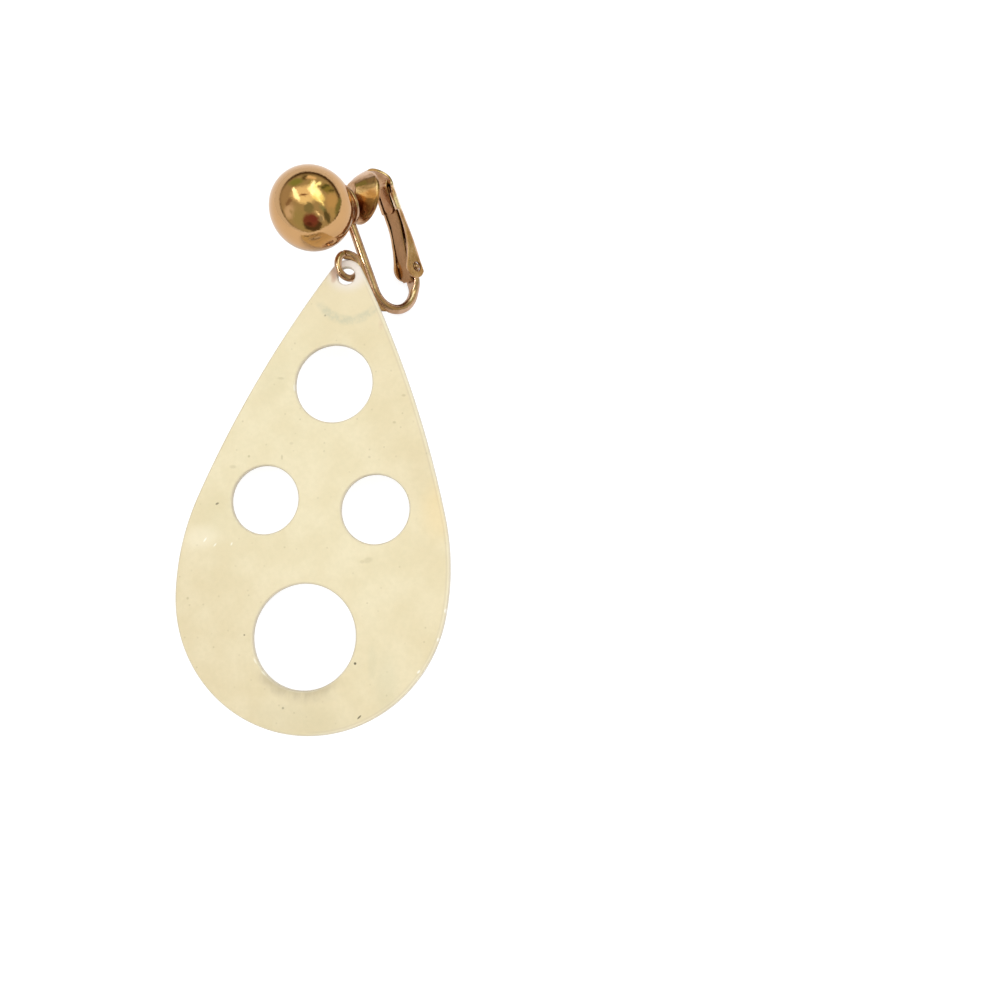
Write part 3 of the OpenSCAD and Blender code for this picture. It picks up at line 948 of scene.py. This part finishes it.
# Painted shade in the cup and on the tongue, and painted highlights on the lever's outer wall, in
# the clip's frame
#     centre              half size        turn  soft  share  colour
LEVER_PAINTED_LIGHT = [
    # Painted shade: brown darkening on the cup
    ((7.20, -0.60, 2.0), (1.6, 1.15, 2.0), -20, 0.5, 0.85, (0.40, 0.17, 0.045)),
    ((6.60, -1.90, 1.6), (1.3, 1.3, 2.0), 0, 0.5, 0.75, (0.26, 0.10, 0.03)),
    ((8.30, -2.20, 1.4), (1.2, 1.3, 2.0), 0, 0.5, 0.60, (0.40, 0.19, 0.06)),
    ((7.60, 0.75, 2.0), (2.0, 0.35, 2.0), 12, 0.5, 0.60, (0.30, 0.18, 0.08)),
    # Painted shade on the tongue between the walls
    ((11.90, -1.20, 0.0), (0.4, 2.0, 1.1), 0, 0.4, 0.75, (0.34, 0.15, 0.06)),
    # Painted highlights on the outer wall
    ((12.30, -1.75, 1.5), (0.7, 1.05, 0.5), 0, 0.25, 0.90, (1.0, 0.86, 0.62)),
    ((12.50, 0.10, 1.5), (0.35, 0.75, 0.5), 0, 0.25, 0.80, (1.0, 0.84, 0.66)),
]


class EARRING_OT_lever(Operator):
    """Make the stamped lever: a fluted cup, and a sheet bent from its flat pattern."""
    bl_idname = "earring.lever"
    bl_label = "Clip lever"

    def execute(self, context):
        s = context.scene.earring.lever
        thick = s.plate / MM
        parts = [cup(thick, s.cup_radius / MM, s.flutes), *lever_sheet(thick), tongue(),
                 *hems()]
        skin = plated("Lever plating", s.bright, s.deep, 0.16, 0.006, painted_light=LEVER_PAINTED_LIGHT)
        clip_piece("stamped_lever", parts, "lever", "clip_lever", skin)
        return {"FINISHED"}


class EARRING_OT_leaf_spring(Operator):
    """Make the leaf spring, a thin strip that leans forward over the hinge."""
    bl_idname = "earring.leaf_spring"
    bl_label = "Leaf spring"

    def execute(self, context):
        s = context.scene.earring.lever
        line = resample(fillet([(12.13, 0.35), (12.13, -4), (10.83, -11.3), (11.0, -11.55)],
                               [0, 6, 0.12, 0]), 0.08)
        strip = sweep(line, s.leaf_width / MM / 2, s.leaf_thick / MM / 2, 0.06, (0.02, 0.02))
        skin = plated("Leaf metal", s.leaf, np.array(s.leaf) * 0.85, 0.2, 0.005)
        clip_piece("leaf", [strip], "lever", "spring_leaf", skin)
        return {"FINISHED"}


# The drop


def teardrop(length, end_r, side_r, top_r):
    """The teardrop's rim: the broad end's arc, a flatter arc, the long flank whose radius is
    worked out so that it meets the round top smoothly, and the top, then mirrored."""
    end_to, side_to = -6, 17.5
    end_c = np.array([0, top_r - length + end_r])
    side_c = end_c - (side_r - end_r) * bearing(end_to)
    aim = bearing(side_to)
    more = (side_c @ side_c - (side_r - top_r) ** 2) / (2 * (side_c @ aim + side_r - top_r))
    flank_c, flank_r = side_c - more * aim, side_r + more
    flank_to = math.degrees(math.atan2(-flank_c[1], -flank_c[0]))
    return mirrored(np.vstack([arc(end_c, end_r, -90, end_to, 90),
                               arc(side_c, side_r, end_to, side_to, 60),
                               arc(flank_c, flank_r, side_to, flank_to, 90),
                               arc((0, 0), top_r, flank_to, 90, 20)]))


# The loop hole and the four round holes
#        across   down   diameter
HOLES = [(0, 0, 2.2),
         (0, -13.7, 9.7),
         (-6.9, -28.7, 8.4),
         (6.9, -28.7, 8.4),
         (0, -44.6, 12.6)]


class EARRING_OT_drop(Operator):
    """Make the enamelled teardrop, a flat plate with four round holes and a loop hole."""
    bl_idname = "earring.drop"
    bl_label = "Drop"

    def execute(self, context):
        s = context.scene.earring.drop
        rims = [resample(teardrop(s.length / MM, s.end_radius / MM, s.side_radius / MM,
                                  s.top_radius / MM), 0.35, True)]
        rims += [arc((x, y), wide / 2, 360, 0, int(16 + 9 * wide))[:-1] for x, y, wide in HOLES]
        parts = plate(rims, s.sheet / MM, edge_r=0.2, spacing=0.8)
        # Pitched about X and then rolled about Y, it lies where the CAD solid's box begins
        axes = np.array(Matrix.Rotation(s.roll, 3, "Y") @ Matrix.Rotation(s.pitch, 3, "X"))
        tip = to_table(np.concatenate([pts for pts, faces in parts]), np.zeros(3), axes).min(0)
        piece, local = build_piece("teardrop", parts, np.array(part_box("drop")[0]) - tip, axes,
                                   "earring", "drop",
                                   enamel("Cream enamel", s.cream, s.pale), "plan")
        far = np.stack([rim_distance(local[:, :2], rim) for rim in rims], 1)
        outline, hole = far[:, 0], far[:, 1:].min(1)
        keep_vectors(piece.data, "rims", np.stack([outline, hole, 0 * hole], 1))
        return {"FINISHED"}


# The room that the polished metal reflects, on the disc x / (1 + z), y / (1 + z) of its
# directions, where 0, 0 is straight up and the unit circle is the horizon. The first rows,
# the room itself, keep clean edges, and the others are bent by noise.
#         across  up     half size      turn  soft  red   green  blue
ROOM = [
    # The room's round edge against the pale table, then its dark far side
    ((0.19, -0.16), (0.99, 1.00), 0, 0.03, (0.10, 0.07, 0.03)),
    ((0.17, -0.24), (0.90, 0.92), 0, 0.07, (0.56, 0.55, 0.38)),
    # Sides
    ((-0.50, 0.02), (0.26, 0.36), 0, 0.5, (0.55, 0.50, 0.37)),
    ((0.72, 0.12), (0.26, 0.30), 0, 0.5, (0.80, 0.72, 0.44)),
    ((0.98, 0.20), (0.13, 0.40), 0, 0.5, (0.28, 0.34, 0.16)),
    ((-0.48, -0.36), (0.20, 0.17), 20, 0.5, (0.92, 0.90, 0.86)),
    ((-0.42, -0.36), (0.04, 0.05), 0, 0.6, (0.55, 0.55, 0.40)),
    ((-0.20, -0.60), (0.22, 0.30), 0, 0.5, (0.52, 0.56, 0.34)),
    ((-0.42, -0.10), (0.14, 0.05), 30, 0.5, (0.36, 0.28, 0.20)),
    # Above the middle
    ((-0.30, 0.36), (0.17, 0.11), 0, 0.4, (0.34, 0.46, 0.16)),
    ((-0.13, 0.50), (0.07, 0.10), 30, 0.4, (0.18, 0.16, 0.08)),
    ((0.00, 0.52), (0.11, 0.07), 12, 0.35, (1.20, 1.10, 0.80)),
    ((0.10, 0.36), (0.09, 0.11), 0, 0.5, (0.62, 0.66, 0.30)),
    ((0.42, 0.40), (0.20, 0.13), 35, 0.4, (0.36, 0.40, 0.14)),
    ((0.36, 0.42), (0.17, 0.045), 62, 0.4, (0.14, 0.17, 0.06)),
    ((0.56, 0.46), (0.15, 0.04), 55, 0.4, (0.20, 0.20, 0.09)),
    # The bright middle and its star
    ((-0.05, 0.06), (0.30, 0.17), 8, 0.35, (1.30, 1.30, 0.95)),
    ((-0.02, -0.10), (0.19, 0.08), 0, 0.45, (1.35, 1.40, 1.00)),
    ((0.27, 0.05), (0.16, 0.12), -10, 0.4, (1.70, 2.00, 1.15)),
    ((0.16, 0.17), (0.16, 0.11), -35, 0.35, (2.40, 3.00, 2.40)),
    ((0.11, 0.24), (0.05, 0.19), 8, 0.4, (2.60, 3.40, 3.20)),
    ((0.17, 0.33), (0.03, 0.17), -22, 0.4, (2.20, 2.80, 2.00)),
    ((0.30, 0.00), (0.19, 0.025), -32, 0.4, (2.20, 2.70, 1.80)),
    ((-0.23, 0.02), (0.15, 0.05), -62, 0.3, (2.40, 2.90, 2.60)),
    ((-0.30, 0.13), (0.07, 0.03), -80, 0.35, (2.60, 3.10, 3.00)),
    ((-0.07, 0.02), (0.10, 0.018), 12, 0.3, (0.34, 0.20, 0.10)),
    # Below the middle
    ((0.09, -0.27), (0.13, 0.13), 0, 0.25, (0.34, 0.38, 0.24)),
    ((0.48, -0.22), (0.16, 0.06), -35, 0.35, (0.40, 0.52, 0.34)),
    ((0.70, -0.42), (0.27, 0.10), -44, 0.25, (0.17, 0.18, 0.10)),
    ((0.84, -0.20), (0.20, 0.10), -40, 0.4, (0.66, 0.64, 0.40)),
    ((0.47, -0.50), (0.10, 0.12), 0, 0.3, (0.50, 0.52, 0.44)),
    ((0.23, -0.80), (0.33, 0.26), 0, 0.16, (0.12, 0.09, 0.05)),
    ((0.16, -0.62), (0.24, 0.22), 0, 0.25, (0.26, 0.10, 0.08)),
    ((0.22, -0.56), (0.13, 0.10), 15, 0.4, (0.26, 0.08, 0.08)),
    ((0.12, -0.75), (0.10, 0.07), 0, 0.4, (0.14, 0.05, 0.04)),
    ((0.36, -0.38), (0.10, 0.013), -25, 0.4, (2.20, 2.40, 2.10)),
    ((0.55, -0.48), (0.12, 0.013), -56, 0.4, (1.80, 1.90, 1.60)),
]
CLEAN_ROWS = 2
TABLE_TONE = (0.93, 0.96, 1.0)

# Soft lights from above: place in metres and share of the power. The strip light for the
# wire frame alone: its place on the disc of ROOM, its distance in metres, its width and
# height in radians as seen from the clip, and its radiance.
SOFT_LIGHTS = (((0.22, 0.06, 0.6), 1.0), ((-0.3, -0.3, 0.5), 0.4))
SOFT_SIZE, SOFT_WATTS = 0.5, 3.0
STRIP_AT, STRIP_FAR, STRIP_SIZE, STRIP_RADIANCE = (-0.13, -0.30), 0.6, (0.13, 0.75), 18.0


def strip_lit():
    """The collection of what the strip light reaches and what shades it."""
    return bpy.data.collections.get("Clip") or bpy.data.collections.new("Clip")


def facing(place, back, up):
    """The place and turn of a lamp or camera, from where its back and its top point."""
    back = unit(back)
    side = unit(np.cross(up, back))
    turn = np.stack([side, np.cross(back, side), back], 1)
    return Matrix.Translation(place) @ Matrix(turn).to_4x4()


def put(name, data, matrix=None):
    """A new object in the scene."""
    made = bpy.data.objects.new(name, data)
    if matrix is not None:
        made.matrix_world = matrix
    bpy.context.scene.collection.objects.link(made)
    return made


class EARRING_OT_stage(Operator):
    """Make the pale table, the soft light, the room that the metal reflects and the camera."""
    bl_idname = "earring.stage"
    bl_label = "Stage"

    def execute(self, context):
        s = context.scene.earring.stage
        context.scene.view_settings.view_transform = "Standard"
        context.scene.world = bpy.data.worlds.new("Room")
        self.make_floor(s)
        self.make_room(empty_tree(context.scene.world), s)
        self.make_light(s)
        context.scene.camera = self.make_camera(s)
        return {"FINISHED"}

    def make_floor(self, s):
        """A plain table. The camera sees it pale, with shadows by their share, and the
        pieces see it as a matt sheet."""
        mesh = bpy.data.meshes.new("table")
        left, right, near, far = -0.16, 0.11, -0.1, 0.2
        corners = np.array([(left, near, 0), (right, near, 0), (right, far, 0), (left, far, 0)])
        mesh.from_pydata(corners, [], [(0, 1, 2, 3)])
        material = bpy.data.materials.new("Pale table")
        tree = empty_tree(material)
        matt = node(tree, "ShaderNodeBsdfDiffuse", {"Color": rgba(s.floor)})
        lit = node(tree, "ShaderNodeBsdfDiffuse",
                   {"Color": rgba(np.array(s.floor) * s.shadow)})
        glow = node(tree, "ShaderNodeEmission", {"Color": (1, 1, 1, 1), "Strength": s.glow})
        seen = node(tree, "ShaderNodeAddShader", {0: lit.outputs[0], 1: glow.outputs[0]})
        ray = node(tree, "ShaderNodeLightPath").outputs
        both = node(tree, "ShaderNodeMixShader",
                    {0: ray["Is Camera Ray"], 1: matt.outputs[0], 2: seen.outputs[0]})
        node(tree, "ShaderNodeOutputMaterial", {"Surface": both.outputs[0]})
        mesh.materials.append(material)
        put("table", mesh)

    def make_room(self, tree, s):
        """The room for polished metal, a white backdrop for the camera, and an even pale
        sky for all else."""
        way = split(tree, node(tree, "ShaderNodeTexCoord").outputs["Generated"])
        rise = maths(tree, "MAXIMUM", maths(tree, "ADD", way["Z"], 1.0), 0.05)
        flat = node(tree, "ShaderNodeCombineXYZ",
                    {axis: maths(tree, "DIVIDE", way[axis], rise) for axis in "XY"}).outputs[0]
        rough = noise(tree, flat, 9.0, 2.0)["Color"]
        off = vectors(tree, "SUBTRACT", rough, (0.5, 0.5, 0.5))[0]
        bent = vectors(tree, "MULTIPLY_ADD", off, (0.11, 0.11, 0), flat)[0]
        shade = TABLE_TONE
        for i, (centre, half, turn, soft, colour) in enumerate(ROOM):
            laid = flat if i < CLEAN_ROWS else bent
            mask = spot_mask(tree, laid, (*centre, 0), (*half, 1), turn, soft)
            shade = tint(tree, mask, shade, colour)
        room, sky, backdrop = (
            node(tree, "ShaderNodeBackground", {"Color": colour, "Strength": strength}).outputs[0]
            for colour, strength in ((shade, 1.0), ((1, 1, 1, 1), s.sky), ((1, 1, 1, 1), 1.0)))
        ray = node(tree, "ShaderNodeLightPath").outputs
        both = node(tree, "ShaderNodeMixShader", {0: ray["Is Glossy Ray"], 1: sky, 2: room})
        seen = node(tree, "ShaderNodeMixShader",
                    {0: ray["Is Camera Ray"], 1: both.outputs[0], 2: backdrop})
        node(tree, "ShaderNodeOutputWorld", {"Surface": seen.outputs[0]})

    def make_light(self, s):
        """Two soft lights that polished metal doesn't show, and the strip light."""
        for place, share in SOFT_LIGHTS:
            lamp = self.lamp("Soft light", np.array(place), (SOFT_SIZE, SOFT_SIZE),
                             share * s.light * SOFT_WATTS)
            lamp.visible_glossy = False
        x, y = STRIP_AT
        q = 1 + x * x + y * y
        place = BALL_CENTRE + np.array([2 * x, 2 * y, 2 - q]) / q * STRIP_FAR
        wide, high = (size * STRIP_FAR for size in STRIP_SIZE)
        lamp = self.lamp("Strip light", place, (wide, high),
                         STRIP_RADIANCE * math.pi * wide * high)
        lamp.visible_diffuse = False
        lamp.light_linking.receiver_collection = strip_lit()
        lamp.light_linking.blocker_collection = strip_lit()

    def lamp(self, name, place, size, watts):
        """A rectangular light at a place, turned towards the ball, its height along the leg."""
        data = bpy.data.lights.new(name, "AREA")
        data.shape = "RECTANGLE"
        data.size, data.size_y = size
        data.energy = watts
        return put(name, data, facing(place, place - BALL_CENTRE, CLIP_AXES[:, 1]))

    def make_camera(self, s):
        """The camera, where the photograph was taken from."""
        data = bpy.data.cameras.new("Camera")
        data.lens = s.lens
        data.sensor_width = 36
        data.clip_start, data.clip_end = 0.005, 20
        place = np.array([26.84, -29.33, 103.79]) * MM
        return put("Camera", data, facing(place, (0.0518, -0.2342, 0.9708),
                                          (-0.0984, 0.9662, 0.2383)))


class EARRING_PT_panel(Panel):
    """The earring's pieces and sizes, in the 3D view's sidebar."""
    bl_idname = "EARRING_PT_panel"
    bl_label = "Earring"
    bl_space_type = "VIEW_3D"
    bl_region_type = "UI"
    bl_category = "Earring"

    def draw(self, context):
        s = context.scene.earring
        for part, operators in ROWS:
            box = self.layout.box()
            settings = getattr(s, part)
            for key in settings.__annotations__:
                box.prop(settings, key)
            for operator in operators:
                box.operator(operator.bl_idname)


ROWS = (
    ("stage", (EARRING_OT_stage,)),
    ("ball", (EARRING_OT_ball,)),
    ("wire", (EARRING_OT_wire_frame, EARRING_OT_hinge_pin)),
    ("lever", (EARRING_OT_lever, EARRING_OT_leaf_spring)),
    ("drop", (EARRING_OT_drop,)),
)
CLASSES = (BallSettings, WireSettings, LeverSettings, DropSettings, StageSettings,
           EarringSettings, *(op for part, ops in ROWS for op in ops), EARRING_PT_panel)


def register():
    for cls in CLASSES:
        bpy.utils.register_class(cls)
    bpy.types.Scene.earring = PointerProperty(type=EarringSettings)


def unregister():
    del bpy.types.Scene.earring
    for cls in reversed(CLASSES):
        bpy.utils.unregister_class(cls)


def main():
    register()
    bpy.ops.earring.stage()
    bpy.ops.earring.ball()
    bpy.ops.earring.wire_frame()
    bpy.ops.earring.hinge_pin()
    bpy.ops.earring.lever()
    bpy.ops.earring.leaf_spring()
    bpy.ops.earring.drop()


if __name__ == "__main__":
    main()
